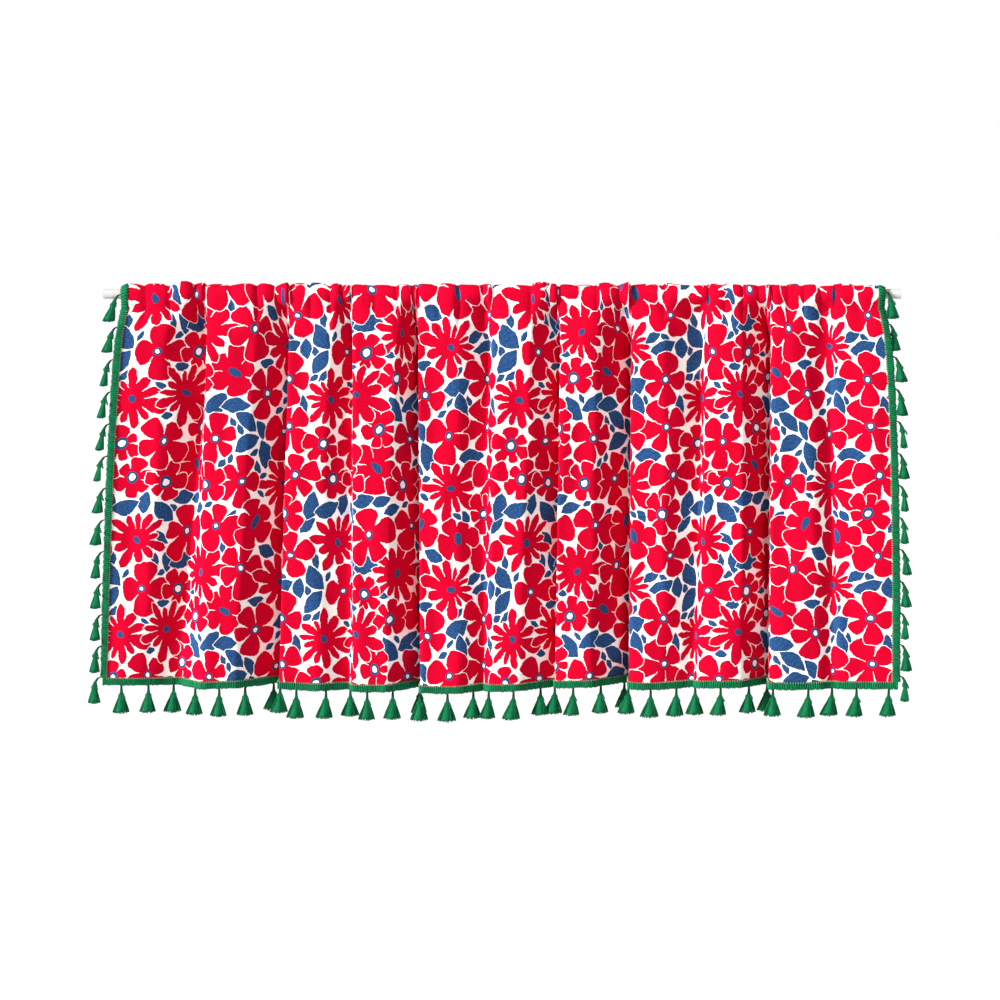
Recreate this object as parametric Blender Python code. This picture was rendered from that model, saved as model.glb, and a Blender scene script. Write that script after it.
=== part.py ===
"""Cabinet curtain on a rod: a gathered panel with a rod pocket, edged on three sides with tassel fringe.

Metres, +Z up. The origin is the centre of the rod's left end face. +X runs along the rod, and +Y points away
from the viewer, into the cabinet. A place on the cloth is given by s, its distance from the left edge along
the flat cloth, and by its share of the drop from the pocket's stitching to the hem.
"""

from math import cos, pi, radians, sin

import bpy
import numpy as np

ROD_LENGTH = 0.948
ROD_RADIUS = 0.006
ROD_SIDES = 24

CLOTH_WIDTH = 1.372  # flat, before it was gathered
CLOTH_THICKNESS = 0.0012
CLOTH_SEGMENTS = 102
SELVEDGE = 0.008  # the strip under each side braid, which is too stiff to ruffle
HEM_Z = -0.4745
SEAM_Z = -0.018  # the line of stitching that closes the rod pocket
SEAM_THICKNESS = 0.0024
FRONT_AT_SEAM = -0.009  # y of the foremost cloth, which stands further out below the heading
FRONT_BELOW = -0.017

POCKET_HOLE_RADIUS = 0.0069  # to the corners of the hole, whose flats then clear the rod by 0.4 mm
POCKET_WALL = 0.0015  # measured from the rod's axis, so it is thinner square to a steep ruffle
POCKET_ANGLES = (-42, 2, 46, 90, 134, 178, 222)  # up from the front, over the top to the back
POCKET_HOLE_FOOT = 0.003  # the hole ends this far above the stitching

GATHERS = 26
GATHER_DRIFT = {"gathers": 0.30, "waves": 3}  # how far the ruffles wander from even places
RUFFLE_HEIGHT = 0.0075
RUFFLE_SIZE = {"mean": 0.72, "swing": 0.28, "waves": 5.3, "start": 1.1}
RUFFLE_UNDER_ROD = 0.35  # the share of a ruffle that is left below the rod
GATHER_DEPTH = 0.004
GATHER_FADE = 0.060  # below the stitching
FOLD_GROWTH = 0.085  # below the stitching, where the folds reach their full depth
FOLD_SHARE_AT_SEAM = 0.4
FOLD_ROUNDING = 0.008
ROUNDING_WEIGHTS = (1, 2, 3, 2, 1)
EDGE_RUN_ON = 0.05  # the cloth is taken to run straight on past its edges, so that rounding spares them
EDGE_BULGE = {"left": -0.003, "right": 0.007, "reach": 0.09}

# The rows of corners down the panel, as shares of the drop.
ROW_SHARES = (0.0, 0.05, 0.13, 0.27, 0.55, 1.0)

# The folds, left to right. Each starts with a flat at the front, bends back at flat_end, turns in a valley
# and comes forward again to the next front crease. A valley beyond its crease is tucked behind it. front and
# depth say how far behind the foremost cloth the flat and the valley lie.
FOLD_COLUMNS = ("front", "flat_end", "valley", "crease", "depth")
FOLDS_AT_ROD = (
    (0.000, 0.081, 0.125, 0.122, 0.028),
    (0.000, 0.181, 0.218, 0.215, 0.031),
    (0.002, 0.266, 0.290, 0.289, 0.024),
    (0.000, 0.349, 0.374, 0.372, 0.028),
    (0.002, 0.422, 0.449, 0.457, 0.022),
    (0.000, 0.508, 0.540, 0.538, 0.027),
    (0.001, 0.588, 0.629, 0.627, 0.031),
    (0.000, 0.667, 0.705, 0.711, 0.026),
    (0.002, 0.759, 0.795, 0.793, 0.030),
    (0.000, 0.832, 0.856, 0.864, 0.016),
)
FOLDS_AT_HEM = (
    (0.024, 0.045, 0.075, 0.114, 0.036),
    (0.000, 0.155, 0.209, 0.206, 0.042),
    (0.001, 0.254, 0.281, 0.288, 0.018),
    (0.000, 0.336, 0.373, 0.370, 0.040),
    (0.002, 0.422, 0.441, 0.453, 0.016),
    (0.000, 0.494, 0.536, 0.533, 0.030),
    (0.003, 0.581, 0.629, 0.626, 0.043),
    (0.001, 0.668, 0.695, 0.707, 0.016),
    (0.003, 0.761, 0.796, 0.794, 0.036),
    (0.000, 0.858, 0.868, 0.874, 0.012),
)
EDGES_AT_ROD = (0.024, 0.926)
EDGES_AT_HEM = (-0.009, 0.954)
LAST_FLAT_FRONT = 0.004
# How far the hem of each flat, left to right, hangs below HEM_Z.
HEM_DROPS = (-0.0006, 0.0012, 0.0028, 0.0042, 0.0018, -0.0020, -0.0006, -0.0016, -0.0004, -0.0008, -0.0004)

BRAID_WIDTH = 0.007
BRAID_THICKNESS = 0.0015
BRAID_PROUD = 0.002  # past the edge of the cloth, so that a cord can leave it
GAP = 0.0004
BRAID_TOP_ANGLE = 46  # the side braids end on the pocket's front, this far up

TASSEL_PITCH = 0.0381
TASSEL_SIDES = 5
# Each tassel hangs from a cord. Rings of its outline: how far down its length, and its radius.
TASSEL_LENGTH = 0.0335
TASSEL_RINGS = ((0.0, 0.0013), (0.38, 0.0034), (1.0, 0.0095))
ROOT_INSET = 0.0007  # how far the cord starts inside the braid
# At the sides the cord first reaches outwards, and the foot of the skirt stands off from the braid beside it.
SIDE_TASSELS = 13
SIDE_TASSEL_PITCH = 0.0384
FIRST_SIDE_TASSEL_Z = -0.001
SIDE_TASSEL_LENGTH = 0.0305
SIDE_TASSELS_HANG = {
    "left": {"reach": 0.0040, "stand_off": 0.0115, "slimmer": 0.60},
    "right": {"reach": 0.0045, "stand_off": 0.0085, "slimmer": 0.74},
}

COLOURS = {
    "printed_cotton": (0.80, 0.01, 0.04),
    "fringe_yarn": (0.004, 0.20, 0.07),
    "white_enamel": (0.85, 0.85, 0.85),
}


def smooth(share):
    """Rises from 0 to 1 with level ends as the share goes from 0 to 1."""
    share = np.clip(share, 0, 1)
    return share * share * (3 - 2 * share)


def fold_corners(folds, edges):
    """The corners of the folds in plan, left to right: x, and how far behind the foremost cloth they lie."""
    table = dict(zip(FOLD_COLUMNS, np.transpose(folds)))
    fronts = np.append(table["front"], LAST_FLAT_FRONT)
    along = np.column_stack([table["flat_end"], table["valley"], table["crease"]])
    behind = np.column_stack([fronts[:-1], table["depth"], fronts[1:]])
    x = np.concatenate([[edges[0]], along.ravel(), [edges[1]]])
    y = np.concatenate([[fronts[0]], behind.ravel(), [fronts[-1]]])
    return x, y


ROD_CORNERS = fold_corners(FOLDS_AT_ROD, EDGES_AT_ROD)
HEM_CORNERS = fold_corners(FOLDS_AT_HEM, EDGES_AT_HEM)


def corner_places():
    """The s of every fold corner, spread by the length of cloth between corners halfway down the panel."""
    x, y = np.mean([ROD_CORNERS, HEM_CORNERS], axis=0)
    length = np.concatenate([[0], np.cumsum(np.hypot(np.diff(x), np.diff(y)))])
    return CLOTH_WIDTH * length / length[-1]


CORNER_S = corner_places()
FLAT_MIDDLES = (CORNER_S[0::3] + CORNER_S[1::3]) / 2


def rounded(s, values):
    """Straight lines between the corner values, rounded off by a weighted average over a stretch of cloth."""
    first = (values[1] - values[0]) / (CORNER_S[1] - CORNER_S[0])
    last = (values[-1] - values[-2]) / (CORNER_S[-1] - CORNER_S[-2])
    places = np.concatenate([[-EDGE_RUN_ON], CORNER_S, [CLOTH_WIDTH + EDGE_RUN_ON]])
    ends = values[0] - first * EDGE_RUN_ON, values[-1] + last * EDGE_RUN_ON
    padded = np.concatenate([[ends[0]], values, [ends[1]]])
    offsets = np.linspace(-FOLD_ROUNDING, FOLD_ROUNDING, len(ROUNDING_WEIGHTS))
    total = sum(w * np.interp(s + o, places, padded) for w, o in zip(ROUNDING_WEIGHTS, offsets))
    return total / sum(ROUNDING_WEIGHTS)


def ruffle(s):
    """The uneven ruffles of the heading, 0 in a pinch and up to 1 on a crest, and 0 under the side braids."""
    place = np.clip((s - SELVEDGE) / (CLOTH_WIDTH - 2 * SELVEDGE), 0, 1)
    drift = GATHER_DRIFT["gathers"] * np.sin(2 * pi * GATHER_DRIFT["waves"] * place) * np.sin(pi * place)
    swing = np.sin(2 * pi * RUFFLE_SIZE["waves"] * place + RUFFLE_SIZE["start"])
    size = RUFFLE_SIZE["mean"] + RUFFLE_SIZE["swing"] * swing
    return size * (0.5 - 0.5 * np.cos(2 * pi * (GATHERS * place + drift)))


def bulge(s, share):
    """How far the side edges bow outwards halfway down."""
    near_left = smooth(1 - s / EDGE_BULGE["reach"])
    near_right = smooth(1 - (CLOTH_WIDTH - s) / EDGE_BULGE["reach"])
    bow = near_left * EDGE_BULGE["left"] + near_right * EDGE_BULGE["right"]
    return 4 * share * (1 - share) * bow


def sheet(s, share):
    """The middle of the hanging cloth at s, with share 0 at the stitching and 1 at the hem."""
    below = share * (SEAM_Z - HEM_Z + np.interp(s, FLAT_MIDDLES, HEM_DROPS))
    even_x = EDGES_AT_ROD[0] + (EDGES_AT_ROD[1] - EDGES_AT_ROD[0]) * s / CLOTH_WIDTH
    fold_x = (1 - share) * rounded(s, ROD_CORNERS[0]) + share * rounded(s, HEM_CORNERS[0])
    fold_y = (1 - share) * rounded(s, ROD_CORNERS[1]) + share * rounded(s, HEM_CORNERS[1])
    spread = smooth(below / GATHER_FADE)
    growth = FOLD_SHARE_AT_SEAM + (1 - FOLD_SHARE_AT_SEAM) * smooth(below / FOLD_GROWTH)
    front = FRONT_AT_SEAM + (FRONT_BELOW - FRONT_AT_SEAM) * smooth(below / FOLD_GROWTH)
    x = (1 - spread) * even_x + spread * fold_x + bulge(s, share)
    y = front + growth * fold_y - (1 - spread) * GATHER_DEPTH * (ruffle(s) - 0.5)
    return np.column_stack([x, y, SEAM_Z - below])


def plan_offset(middle, distance):
    """The line moved sideways in plan, to its right as s grows, with its corners mitred."""
    run = np.diff(middle[:, :2], axis=0)
    square = np.column_stack([run[:, 1], -run[:, 0]]) / np.linalg.norm(run, axis=1)[:, None]
    before = np.vstack([square[:1], square])
    after = np.vstack([square, square[-1:]])
    bisector = before + after
    bisector *= 2 / np.sum(bisector**2, axis=1)[:, None]
    moved = middle.copy()
    moved[:, :2] += distance * bisector
    return moved


def new_object(name, vertices, faces):
    mesh = bpy.data.meshes.new(name)
    mesh.from_pydata([tuple(v) for v in vertices], [], [tuple(f) for f in faces])
    mesh.validate()
    made = bpy.data.objects.new(name, mesh)
    bpy.context.scene.collection.objects.link(made)
    return made


def give_material(made, finish, roughness):
    """Each piece has its own material, named for the piece, in the colour of its finish."""
    material = bpy.data.materials.new(f"{made.name}_{finish}")
    material.use_nodes = True
    shader = material.node_tree.nodes["Principled BSDF"]
    shader.inputs["Base Color"].default_value = (*COLOURS[finish], 1)
    shader.inputs["Roughness"].default_value = roughness
    shader.inputs["Metallic"].default_value = 0
    made.data.materials.append(material)


def pocket_line(s, x, angle, radius):
    """One lengthwise line of the rod pocket, at a radius that the ruffles add to."""
    lift = 1 if 0 <= angle <= 180 else RUFFLE_UNDER_ROD
    reach = radius + lift * RUFFLE_HEIGHT * ruffle(s)
    return np.column_stack([x, -reach * cos(radians(angle)), reach * sin(radians(angle))])


def cloth_lines(s):
    """Lengthwise lines: round the outside from the front of the hem to the back, then round the hole."""
    rows = [sheet(s, share) for share in ROW_SHARES]
    halves = [SEAM_THICKNESS / 2] + [CLOTH_THICKNESS / 2] * (len(rows) - 1)
    front = [plan_offset(row, half) for row, half in zip(rows, halves)]
    back = [plan_offset(row, -half) for row, half in zip(rows, halves)]
    x = rows[0][:, 0]
    outer_radius = POCKET_HOLE_RADIUS + POCKET_WALL
    outer = [pocket_line(s, x, angle, outer_radius) for angle in POCKET_ANGLES]
    hole = [pocket_line(s, x, angle, POCKET_HOLE_RADIUS) for angle in POCKET_ANGLES]
    foot = rows[0] + (0, 0, POCKET_HOLE_FOOT)
    return front[::-1] + outer + back, hole + [foot]


def tube_faces(lines, segments, first=0, inward=False):
    """Quads round a closed set of lengthwise lines, each of which holds segments + 1 points."""
    step = segments + 1
    faces = []
    for line in range(lines):
        here = first + line * step
        there = first + (line + 1) % lines * step
        for i in range(segments):
            quad = (here + i, here + i + 1, there + i + 1, there + i)
            faces.append(quad[::-1] if inward else quad)
    return faces


def end_faces(column, at_right):
    """The cut end of the panel at a column of points: a ring round the hole, then a strip down to the hem."""
    rows, ring = len(ROW_SHARES), len(POCKET_ANGLES)
    step = CLOTH_SEGMENTS + 1
    front = [column + row * step for row in range(rows)]  # from the hem up
    outer = [column + (rows + k) * step for k in range(ring)]
    back = [column + (rows + ring + row) * step for row in range(rows)]  # from the stitching down
    hole = [column + (2 * rows + ring + k) * step for k in range(ring + 1)]
    foot = hole[-1]
    faces = [(outer[k], outer[k + 1], hole[k + 1], hole[k]) for k in range(ring - 1)]
    faces.append((front[-1], outer[0], hole[0], foot))
    faces.append((outer[-1], back[0], foot, hole[-2]))
    faces.append((back[0], front[-1], foot))
    for row in range(rows - 1):
        faces.append((front[row], front[row + 1], back[rows - 2 - row], back[rows - 1 - row]))
    return [face[::-1] for face in faces] if at_right else faces


def make_cloth(s):
    """Makes the panel and returns the lengthwise lines of its outside, which the braids are laid on."""
    outside, hole = cloth_lines(s)
    vertices = np.concatenate(outside + hole)
    faces = tube_faces(len(outside), CLOTH_SEGMENTS)
    faces += tube_faces(len(hole), CLOTH_SEGMENTS, len(outside) * len(s), inward=True)
    faces += end_faces(0, at_right=False) + end_faces(CLOTH_SEGMENTS, at_right=True)
    give_material(new_object("cloth_panel", vertices, faces), "printed_cotton", 0.85)
    return outside


def make_rod():
    bpy.ops.mesh.primitive_cylinder_add(
        vertices=ROD_SIDES,
        radius=ROD_RADIUS,
        depth=ROD_LENGTH,
        location=(ROD_LENGTH / 2, 0, 0),
        rotation=(0, pi / 2, 0),
    )
    rod = bpy.context.object
    rod.name = rod.data.name = "rod"
    rod.data.shade_smooth()
    rod.data.set_sharp_from_angle(angle=radians(40))
    give_material(rod, "white_enamel", 0.35)


def tassel(root, length, reach, lean, slimmer, points, faces):
    """Adds one tassel under its root: a cord that may first reach sideways, and a flared, leaning skirt."""
    first = len(points)
    elbow = np.array(root) + (reach, 0, 0)
    cord_radius = TASSEL_RINGS[0][1]
    rings = [(np.array(root), cord_radius, "side")] if reach else []
    for share, radius in TASSEL_RINGS:
        drop = share * length
        centre = elbow + (lean * drop, 0, -drop)
        rings.append((centre, radius * slimmer if share else cord_radius, "down"))
    outward = 1 if reach > 0 else -1
    for centre, radius, facing in rings:
        for k in range(TASSEL_SIDES):
            turn = 2 * pi * k / TASSEL_SIDES
            across, along = radius * cos(turn), radius * sin(turn)
            offset = (0, along, outward * across) if facing == "side" else (across, along, 0)
            points.append(tuple(centre + offset))
    for ring in range(len(rings) - 1):
        for k in range(TASSEL_SIDES):
            a = first + ring * TASSEL_SIDES + k
            b = first + ring * TASSEL_SIDES + (k + 1) % TASSEL_SIDES
            faces.append((a, a + TASSEL_SIDES, b + TASSEL_SIDES, b))
    faces.append(tuple(first + k for k in range(TASSEL_SIDES)))
    last = first + (len(rings) - 1) * TASSEL_SIDES
    faces.append(tuple(last + k for k in reversed(range(TASSEL_SIDES))))


def make_fringe(name, strip, roots, leans, length=TASSEL_LENGTH, reach=0.0, slimmer=1.0):
    """A comb: a braid thickened forwards from a strip of paired points, with a tassel at each root."""
    count = len(strip) // 2
    faces = [(i, i + 1, count + i + 1, count + i) for i in range(count - 1)]
    braid = new_object(name, strip, faces)
    solidify = braid.modifiers.new("Thickness", "SOLIDIFY")
    solidify.thickness = BRAID_THICKNESS
    solidify.offset = 1
    solidify.use_even_offset = True
    points, sides = [], []
    for root, lean in zip(roots, leans):
        tassel(root, length, reach, lean, slimmer, points, sides)
    tassels = new_object(f"{name}_tassels", points, sides)
    tassels.hide_render = True
    tassels.display_type = "WIRE"
    join = braid.modifiers.new("Tassels", "BOOLEAN")
    join.operation = "UNION"
    join.solver = "EXACT"
    join.use_self = True
    join.object = tassels
    give_material(braid, "fringe_yarn", 0.8)


def bottom_fringe(s, cloth_front):
    """The braid hangs on the front of the hem, its lower edge just under the cloth's."""
    hem, above = cloth_front[0], cloth_front[1]
    upward = (above - hem) / (above - hem)[:, 2:]
    foot = hem - BRAID_PROUD * upward
    low = plan_offset(foot, GAP)
    high = plan_offset(foot + BRAID_WIDTH * upward, GAP)
    middle = plan_offset(foot, GAP + BRAID_THICKNESS / 2)
    places = TASSEL_PITCH * (0.5 + np.arange(round(CLOTH_WIDTH / TASSEL_PITCH)))
    roots = np.column_stack([np.interp(places, s, middle[:, axis]) for axis in range(3)])
    roots[:, 2] += ROOT_INSET
    make_fringe("fringe_bottom", np.concatenate([low, high]), roots, np.zeros(len(roots)))


def side_fringe(side, cloth_front, edge, inner, outward):
    """A braid down one side edge: edge and inner are the columns of points at the edge and next to it."""
    lines = cloth_front[: len(ROW_SHARES) + POCKET_ANGLES.index(BRAID_TOP_ANGLE) + 1]
    edge_line = np.array([line[edge] for line in lines])
    inner_line = np.array([line[inner] for line in lines])
    lift = BRAID_WIDTH - BRAID_PROUD + GAP  # the bottom braid ends below this one
    share = lift / (edge_line[1, 2] - edge_line[0, 2])
    edge_line[0] += share * (edge_line[1] - edge_line[0])
    inner_line[0] += share * (inner_line[1] - inner_line[0])
    across = inner_line - edge_line
    across /= np.linalg.norm(across[:, :2], axis=1)[:, None]
    square = np.cross(across, np.gradient(edge_line, axis=0)) * -outward
    square /= np.linalg.norm(square, axis=1)[:, None]
    outer = edge_line - BRAID_PROUD * across + GAP * square
    innermost = outer + BRAID_WIDTH * across
    middle = outer + BRAID_THICKNESS / 2 * square
    strip = np.concatenate([outer, innermost] if outward > 0 else [innermost, outer])
    heights = FIRST_SIDE_TASSEL_Z - SIDE_TASSEL_PITCH * np.arange(SIDE_TASSELS)
    roots = np.column_stack([np.interp(heights, middle[:, 2], middle[:, axis]) for axis in range(3)])
    hang = SIDE_TASSELS_HANG[side]
    beside_foot = np.interp(heights - SIDE_TASSEL_LENGTH, outer[:, 2], outer[:, 0])
    foot_x = beside_foot + outward * (hang["stand_off"] - hang["reach"])
    leans = (foot_x - roots[:, 0]) / SIDE_TASSEL_LENGTH
    roots[:, 0] -= outward * ROOT_INSET
    reach = outward * hang["reach"]
    make_fringe(f"fringe_{side}", strip, roots, leans, SIDE_TASSEL_LENGTH, reach, hang["slimmer"])


for old in list(bpy.data.objects):
    bpy.data.objects.remove(old, do_unlink=True)

gathered = np.linspace(SELVEDGE, CLOTH_WIDTH - SELVEDGE, CLOTH_SEGMENTS - 1)
columns = np.concatenate([[0], gathered, [CLOTH_WIDTH]])
outside_lines = make_cloth(columns)
make_rod()
bottom_fringe(columns, outside_lines)
side_fringe("left", outside_lines, 0, 1, -1)
side_fringe("right", outside_lines, -1, -2, 1)
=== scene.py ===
from math import cos, pi, radians, sin

import bpy
import numpy as np
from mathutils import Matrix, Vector


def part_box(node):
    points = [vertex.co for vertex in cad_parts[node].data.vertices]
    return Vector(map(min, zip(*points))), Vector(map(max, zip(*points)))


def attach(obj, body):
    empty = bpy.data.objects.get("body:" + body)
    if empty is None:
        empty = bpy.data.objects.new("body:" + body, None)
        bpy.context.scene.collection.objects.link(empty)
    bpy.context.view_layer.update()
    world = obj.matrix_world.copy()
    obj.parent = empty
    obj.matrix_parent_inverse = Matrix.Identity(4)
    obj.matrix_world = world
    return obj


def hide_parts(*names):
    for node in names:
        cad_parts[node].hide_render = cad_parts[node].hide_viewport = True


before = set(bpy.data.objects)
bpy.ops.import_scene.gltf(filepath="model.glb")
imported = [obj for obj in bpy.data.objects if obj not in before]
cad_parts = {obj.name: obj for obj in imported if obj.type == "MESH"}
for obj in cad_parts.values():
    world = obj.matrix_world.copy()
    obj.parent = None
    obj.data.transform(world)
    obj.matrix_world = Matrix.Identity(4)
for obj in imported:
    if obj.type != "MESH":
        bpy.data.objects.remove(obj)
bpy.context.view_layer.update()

# A gathered cotton curtain on a rod, with a braid and tassels down its sides and along its hem.
# Metres. x runs along the rod, y away from the viewer, z up, and the rod's axis is the line y = 0, z = 0.
# A place on the cloth is (s, v): s along the flat cloth from its left edge, v up the flat cloth from its hem.
# A pair of numbers described as varying is a least value and how much more a random share may add.

rodLow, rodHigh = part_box("rod")
rodRadius = (rodHigh.z - rodLow.z) / 2


def smooth(t):
    # 3t² - 2t³ between 0 and 1: level at both ends
    t = np.clip(t, 0, 1)
    return t * t * (3 - 2 * t)


def unit(vectors):
    # each vector over its own length
    return vectors / np.maximum(np.linalg.norm(vectors, axis=-1, keepdims=True), 1e-12)


def varied(pair, share):
    return pair[0] + pair[1] * share


def mixed(a, b, share):
    # a at a share of 0, b at a share of 1
    return a * (1 - share) + b * share


def waver(places, lengths, by):
    # a sine of the first length along the places, moved to and fro by a sine of the second
    return np.sin(2 * pi * places / lengths[0] + by * np.sin(2 * pi * places / lengths[1]))


def newPiece(name, points, faceGroups, finishes, finishOf=None):
    # a smooth-shaded mesh; faceGroups are index arrays, one for each number of corners
    points = np.asarray(points, np.float32).reshape(-1, 3)
    corners = np.concatenate([group.ravel() for group in faceGroups]).astype(np.int32)
    sizes = np.concatenate([np.full(len(group), group.shape[1]) for group in faceGroups])
    starts = np.concatenate([[0], np.cumsum(sizes)[:-1]]).astype(np.int32)
    mesh = bpy.data.meshes.new(name)
    mesh.vertices.add(len(points))
    mesh.vertices.foreach_set("co", points.ravel())
    mesh.loops.add(len(corners))
    mesh.loops.foreach_set("vertex_index", corners)
    mesh.polygons.add(len(sizes))
    mesh.polygons.foreach_set("loop_start", starts)
    for finish in finishes:
        mesh.materials.append(finish)
    if finishOf is not None:
        mesh.polygons.foreach_set("material_index", np.asarray(finishOf, np.int32))
    mesh.update(calc_edges=True)
    mesh.validate()
    mesh.polygons.foreach_set("use_smooth", np.ones(len(sizes), bool))
    piece = bpy.data.objects.new(name, mesh)
    bpy.context.scene.collection.objects.link(piece)
    return piece


def addUv(piece, name, uv):
    piece.data.uv_layers.new(name=name, do_init=False)
    piece.data.uv_layers[name].uv.foreach_set("vector", np.asarray(uv, np.float32).ravel())


def addValues(piece, name, values, kind, domain):
    key = "value" if kind == "FLOAT" else "vector"
    made = piece.data.attributes.new(name, kind, domain)
    made.data.foreach_set(key, np.asarray(values, np.float32).ravel())


def gridQuads(rows, columns, closed=False):
    # quads between neighbouring rows and columns of a grid of points; closed joins the last row to the first
    r = np.arange(rows if closed else rows - 1)[:, None]
    c = np.arange(columns - 1)[None, :]
    here, above = r * columns, (r + 1) % rows * columns
    return np.stack([here + c, here + c + 1, above + c + 1, above + c], -1).reshape(-1, 4)


def tubes(paths, radii, sides):
    # paths (tube, point, 3), radii (tube, point): at every point a ring of that radius, square to the path
    paths = np.asarray(paths, float)
    count, length = paths.shape[:2]
    along = unit(np.gradient(paths, axis=1))
    across = unit(np.cross(along, (0.0, 1.0, 0.0)))
    square = np.cross(along, across)
    turn = 2 * pi * np.arange(sides) / sides
    ring = across[:, :, None] * np.cos(turn)[:, None] + square[:, :, None] * np.sin(turn)[:, None]
    points = paths[:, :, None] + ring * np.asarray(radii)[:, :, None, None]
    t = np.arange(count)[:, None, None] * length * sides
    p = np.arange(length - 1)[None, :, None] * sides
    k = np.arange(sides)[None, None, :]
    after = (k + 1) % sides
    quads = np.stack([t + p + k, t + p + after, t + p + sides + after, t + p + sides + k], -1).reshape(-1, 4)
    tube = np.arange(count)[:, None] * length * sides
    caps = np.concatenate([tube + np.arange(sides)[::-1], tube + (length - 1) * sides + np.arange(sides)])
    return points.reshape(-1, 3), quads, caps


def mathNode(tree, operation, *values):
    node = tree.nodes.new("ShaderNodeMath")
    node.operation = operation
    for socket, value in zip(node.inputs, values):
        if isinstance(value, Wire):
            tree.links.new(value.socket, socket)
        else:
            socket.default_value = float(value)
    return Wire(tree, node.outputs[0])


def operator(operation):
    return lambda wire, other: mathNode(wire.tree, operation, wire, other)


def reflected(operation):
    return lambda wire, other: mathNode(wire.tree, operation, other, wire)


def function(operation):
    return lambda maths, *values: mathNode(maths.tree, operation, *values)


class Wire:
    # a socket that Python's operators add Math nodes to
    def __init__(self, tree, socket):
        self.tree, self.socket = tree, socket

    __add__, __radd__ = operator("ADD"), reflected("ADD")
    __sub__, __rsub__ = operator("SUBTRACT"), reflected("SUBTRACT")
    __mul__, __rmul__ = operator("MULTIPLY"), reflected("MULTIPLY")
    __truediv__, __rtruediv__ = operator("DIVIDE"), reflected("DIVIDE")
    __gt__, __lt__ = operator("GREATER_THAN"), operator("LESS_THAN")


class WireMaths:
    # numpy's names for the functions that a motif uses, on wires
    def __init__(self, tree):
        self.tree = tree

    sqrt, power = function("SQRT"), function("POWER")
    sin, cos, arctan2 = function("SINE"), function("COSINE"), function("ARCTAN2")
    floor, abs = function("FLOOR"), function("ABSOLUTE")
    minimum, maximum = function("MINIMUM"), function("MAXIMUM")


class Nodes:
    # a tree of nodes, and the ways to add to it
    def __init__(self, tree):
        self.tree, self.maths = tree, WireMaths(tree)

    def node(self, kind, settings=None, values=None, output=0):
        # a node's type, its settings, and then the values or links of its sockets
        made = self.tree.nodes.new("ShaderNode" + kind)
        for key, value in (settings or {}).items():
            setattr(made, key, value)
        for key, value in (values or {}).items():
            if isinstance(value, Wire):
                self.tree.links.new(value.socket, made.inputs[key])
            else:
                made.inputs[key].default_value = value
        return Wire(self.tree, made.outputs[output])

    def place(self):
        return self.node("TexCoord", output="Object")

    def parts(self, vector):
        split = self.node("SeparateXYZ", values={0: vector}).socket.node
        return [Wire(self.tree, socket) for socket in split.outputs]

    def vector(self, x, y, z=0.0):
        return self.node("CombineXYZ", values={"X": x, "Y": y, "Z": z})

    def noise(self, vector, scale, detail=2.0, output="Fac"):
        values = {"Vector": vector, "Scale": scale, "Detail": detail}
        return self.node("TexNoise", values=values, output=output)

    def blend(self, share, a, b, kind="MIX"):
        # sockets 6 and 7 of a Mix node are its two colours, and output 2 the mixed one
        a = (*a, 1) if isinstance(a, tuple) else a
        b = (*b, 1) if isinstance(b, tuple) else b
        settings = {"data_type": "RGBA", "blend_type": kind}
        return self.node("Mix", settings, {0: share, 6: a, 7: b}, output=2)


class Finish(Nodes):
    # one material, and the shader that its nodes feed
    def __init__(self, name, roughness=0.8, specular=0.5, sheen=0.0):
        self.material = bpy.data.materials.new(name)
        self.material.use_nodes = True
        super().__init__(self.material.node_tree)
        self.shader = self.tree.nodes["Principled BSDF"]
        self.shader.inputs["Roughness"].default_value = roughness
        self.shader.inputs["Specular IOR Level"].default_value = specular
        self.shader.inputs["Sheen Weight"].default_value = sheen

    def feed(self, socket, wire):
        self.tree.links.new(wire.socket, self.shader.inputs[socket])

    def bump(self, height, distance):
        self.feed("Normal", self.node("Bump", values={"Height": height, "Distance": distance}))


# The cloth's shape. Its folds run straight down from the rod to the hem, and it is gathered over the rod.
cloth = {
    "width": 1.372, "thickness": 0.0007,
    "hemZ": -0.4703, "seamZ": -0.018, "pocketLength": 0.062,
    "frontAtSeam": -0.009, "frontBelow": -0.017,
    "gatherFade": 0.040, "foldGrowth": 0.030, "foldShareAtSeam": 0.6,
}
drop = cloth["seamZ"] - cloth["hemZ"]
clothLength = drop + cloth["pocketLength"]

# Each fold: how far back its flat lies, the x of the shoulder where that bends back, of the valley and of the
# crease where the next flat starts; then how far back the valley lies, and how soft its bends are.
foldColumns = ("front", "shoulder", "valley", "crease", "depth", "softness")
foldsAtRod = (
    (0.000, 0.079, 0.129, 0.124, 0.028, 1.2),
    (0.000, 0.183, 0.226, 0.222, 0.031, 0.8),
    (0.002, 0.270, 0.298, 0.296, 0.024, 1.2),
    (0.000, 0.349, 0.376, 0.374, 0.028, 0.8),
    (0.002, 0.422, 0.460, 0.463, 0.022, 1.5),
    (0.000, 0.508, 0.546, 0.543, 0.027, 0.8),
    (0.001, 0.586, 0.629, 0.627, 0.031, 0.9),
    (0.000, 0.666, 0.716, 0.718, 0.026, 1.3),
    (0.002, 0.759, 0.795, 0.793, 0.030, 0.8),
    (0.000, 0.832, 0.864, 0.868, 0.016, 1.8),
)
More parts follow.
